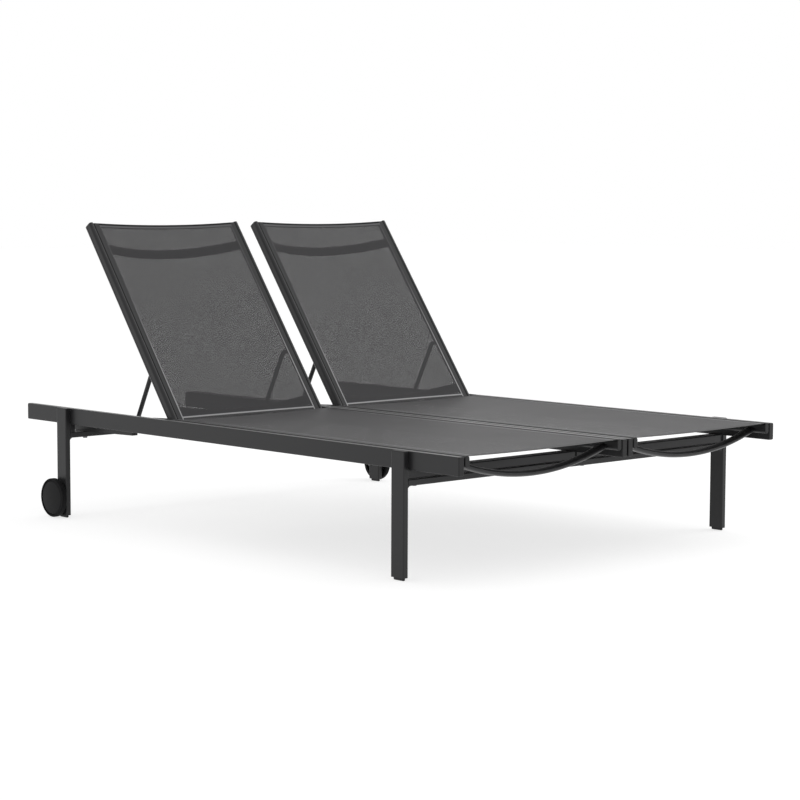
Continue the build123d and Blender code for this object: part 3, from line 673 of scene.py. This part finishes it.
class LOUNGER_OT_make_seat_slings(bpy.types.Operator):
    """Stretch a woven sling over each seat"""

    bl_idname = "lounger.make_seat_slings"
    bl_label = "Make Seat Slings"

    def execute(self, context):
        sizes = context.scene.lounger_slings
        bands = [("Hem Cloth", "hems", at_end, 0.0, sizes.seat_end_hem, sizes.hem_lift)
                 for at_end in (False, True)]
        for side in SIDES:
            middle = PIVOTS[f"{side}_back_recline"].x
            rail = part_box(f"{side}_outer_seat_rail")
            half_span = min(abs(corner.x - middle) for corner in rail)
            low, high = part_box(f"{side}_seat_sling")
            level = (rail[0].z + rail[1].z) / 2 + sizes.sling_level
            place = Matrix.Translation((middle, 0, level))
            sling = Sling(half_span + sizes.tuck, low.y, high.y, sizes.seat_sag)
            make_sling(f"{side}_seat_cloth", f"{side}_seat_sling", "frame", place, sling,
                       "Seat Mesh", "Seat Seam", bands)
        return {"FINISHED"}


class LOUNGER_OT_make_back_slings(bpy.types.Operator):
    """Stretch a woven sling over each back"""

    bl_idname = "lounger.make_back_slings"
    bl_label = "Make Back Slings"

    def execute(self, context):
        sizes = context.scene.lounger_slings
        slope = Matrix.Rotation(sizes.back_angle, 4, "X")
        lift = Matrix.Translation((0, 0, sizes.sling_level))
        hinge_seam_end = sizes.hinge_hem + sizes.hinge_seam
        head_fold_end = sizes.head_cord + sizes.head_fold_painted_highlight
        head_hem_end = head_fold_end + sizes.head_hem
        bands = [
            ("Hem Cloth", "hems", False, 0.0, sizes.hinge_hem, sizes.hem_lift),
            ("Back Seam", "seams", False, sizes.hinge_hem, hinge_seam_end, sizes.seam_lift),
            ("Spline Cord", "pockets", True, 0.0, sizes.head_cord, sizes.seam_lift),
            # Pale band under the cord: painted highlight on the fold
            ("Head Hem", "head_hem", True, sizes.head_cord, head_fold_end, sizes.seam_lift),
            ("Hem Cloth", "hems", True, head_fold_end, head_hem_end, sizes.hem_lift),
        ]
        for side in SIDES:
            hinge = PIVOTS[f"{side}_back_recline"]
            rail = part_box(f"{side}_back_outer_rail")
            half_span = min(abs(corner.x - hinge.x) for corner in rail)
            vertices = frame["nodes"][f"{side}_back_sling"].data.vertices
            ends = [(slope.transposed() @ (vertex.co - hinge)).y for vertex in vertices]
            sling = Sling(half_span + sizes.tuck, min(ends) - sizes.cloth_extra, max(ends),
                          sizes.back_sag, sizes.hinge_bow, sizes.head_bow)
            make_sling(f"{side}_back_cloth", f"{side}_back_sling", f"{side}_back",
                       Matrix.Translation(hinge) @ slope @ lift, sling,
                       "Back Mesh", "Back Seam", bands)
        return {"FINISHED"}


# Studio


def seen_by(tree, *rays):
    """1 for any of these kinds of ray, else 0."""
    path = tree.nodes.new("ShaderNodeLightPath")
    seen = path.outputs[rays[0]]
    for ray in rays[1:]:
        seen = math_node(tree, "MAXIMUM", seen, path.outputs[ray])
    return seen


def studio_floor(studio):
    """Pale floor that reads white where no shadow falls."""
    material = bpy.data.materials.new("Studio Floor")
    material.use_nodes = True
    tree = material.node_tree
    tree.nodes.clear()
    out = tree.nodes.new("ShaderNodeOutputMaterial")
    matt = tree.nodes.new("ShaderNodeBsdfDiffuse")
    colour = tree.nodes.new("ShaderNodeCombineColor")
    seen = seen_by(tree, "Is Camera Ray", "Is Glossy Ray", "Is Transmission Ray")
    grey = studio.floor_grey
    level = math_node(tree, "MULTIPLY_ADD", seen, grey * (studio.floor_gain - 1), grey)
    for channel in ("Red", "Green", "Blue"):
        tree.links.new(level, colour.inputs[channel])
    tree.links.new(colour.outputs["Color"], matt.inputs["Color"])
    glow = tree.nodes.new("ShaderNodeEmission")
    tree.links.new(math_node(tree, "MULTIPLY", seen, studio.floor_glow), glow.inputs["Strength"])
    both = tree.nodes.new("ShaderNodeAddShader")
    tree.links.new(matt.outputs["BSDF"], both.inputs[0])
    tree.links.new(glow.outputs["Emission"], both.inputs[1])
    tree.links.new(both.outputs["Shader"], out.inputs["Surface"])
    return material


def soft_light(name, power, size, place, target):
    """A square softbox that looks at its target."""
    data = bpy.data.lights.new(name, "AREA")
    data.energy = power
    data.size = size
    lamp = bpy.data.objects.new(name, data)
    lamp.location = place
    lamp.rotation_euler = (Vector(target) - Vector(place)).to_track_quat("-Z", "Y").to_euler()
    bpy.context.scene.collection.objects.link(lamp)


def studio_world(studio):
    """White to the camera, nearly so to gloss, and an even dimmer light on the lounger."""
    world = bpy.data.worlds.new("Studio")
    world.use_nodes = True
    tree = world.node_tree
    shade = tree.nodes["Background"]
    shade.inputs["Color"].default_value = (1.0, 1.0, 1.0, 1.0)
    place = tree.nodes.new("ShaderNodeTexCoord")
    split = tree.nodes.new("ShaderNodeSeparateXYZ")
    tree.links.new(place.outputs["Generated"], split.inputs["Vector"])
    height = tree.nodes.new("ShaderNodeMapRange")
    tree.links.new(split.outputs["Z"], height.inputs["Value"])
    height.inputs["From Min"].default_value = studio.backdrop_rise
    height.inputs["From Max"].default_value = studio.ceiling_rise
    height.inputs["To Min"].default_value = studio.reflected_low - studio.ambient
    height.inputs["To Max"].default_value = studio.reflected_high - studio.ambient
    gloss = seen_by(tree, "Is Glossy Ray")
    level = math_node(tree, "MULTIPLY_ADD", gloss, height.outputs["Result"], studio.ambient)
    seen = seen_by(tree, "Is Camera Ray", "Is Transmission Ray")
    tree.links.new(math_node(tree, "MAXIMUM", seen, level), shade.inputs["Strength"])
    bpy.context.scene.world = world


def studio_camera(studio):
    """The photograph's view: turned, raised and rolled round its target."""
    data = bpy.data.cameras.new("Studio Camera")
    data.lens = studio.lens
    data.sensor_width = 36.0
    data.clip_end = 100.0
    camera = bpy.data.objects.new("Studio Camera", data)
    turn = Matrix.Rotation(studio.azimuth, 4, "Z")
    lift = Matrix.Rotation(math.pi / 2 - studio.elevation, 4, "X")
    roll = Matrix.Rotation(studio.roll, 4, "Z")
    away = Matrix.Translation((0, 0, studio.distance))
    camera.matrix_world = Matrix.Translation(studio.target) @ turn @ lift @ roll @ away
    bpy.context.scene.collection.objects.link(camera)
    bpy.context.scene.camera = camera


class LOUNGER_OT_set_studio(bpy.types.Operator):
    """Lay the floor, hang the lights and set the camera"""

    bl_idname = "lounger.set_studio"
    bl_label = "Set Studio"

    def execute(self, context):
        studio = context.scene.lounger_studio
        mesh = bmesh.new()
        bmesh.ops.create_grid(mesh, x_segments=1, y_segments=1, size=studio.floor_size / 2)
        floor = piece("studio_floor", [mesh], Matrix.Identity(4), studio_floor(studio))
        for name, power, *setting in SOFTBOXES:
            soft_light(name, getattr(studio, power), *setting)
        studio_world(studio)
        studio_camera(studio)
        context.scene.view_settings.view_transform = "Standard"
        return {"FINISHED"}


class LOUNGER_PT_panel(bpy.types.Panel):
    """The lounger's sizes, colours and steps"""

    bl_idname = "LOUNGER_PT_panel"
    bl_label = "Double Chaise Lounger"
    bl_space_type = "VIEW_3D"
    bl_region_type = "UI"
    bl_category = "Lounger"

    def draw(self, context):
        for group in ("lounger_slings", "lounger_colours", "lounger_studio"):
            settings = getattr(context.scene, group)
            box = self.layout.box()
            for name in settings.__annotations__:
                box.prop(settings, name)
        for operator in OPERATORS:
            self.layout.operator(operator.bl_idname)


OPERATORS = (
    LOUNGER_OT_finish_frame,
    LOUNGER_OT_make_seat_slings,
    LOUNGER_OT_make_back_slings,
    LOUNGER_OT_set_studio,
)
SETTINGS = {
    "lounger_slings": SlingSizes,
    "lounger_colours": FinishColours,
    "lounger_studio": StudioSettings,
}


def register():
    for name, group in SETTINGS.items():
        bpy.utils.register_class(group)
        setattr(bpy.types.Scene, name, PointerProperty(type=group))
    for item in (*OPERATORS, LOUNGER_PT_panel):
        bpy.utils.register_class(item)


def unregister():
    for item in (LOUNGER_PT_panel, *reversed(OPERATORS)):
        bpy.utils.unregister_class(item)
    for name, group in SETTINGS.items():
        delattr(bpy.types.Scene, name)
        bpy.utils.unregister_class(group)


def main():
    register()
    for operator in OPERATORS:
        group, name = operator.bl_idname.split(".")
        getattr(getattr(bpy.ops, group), name)()


if __name__ == "__main__":
    main()
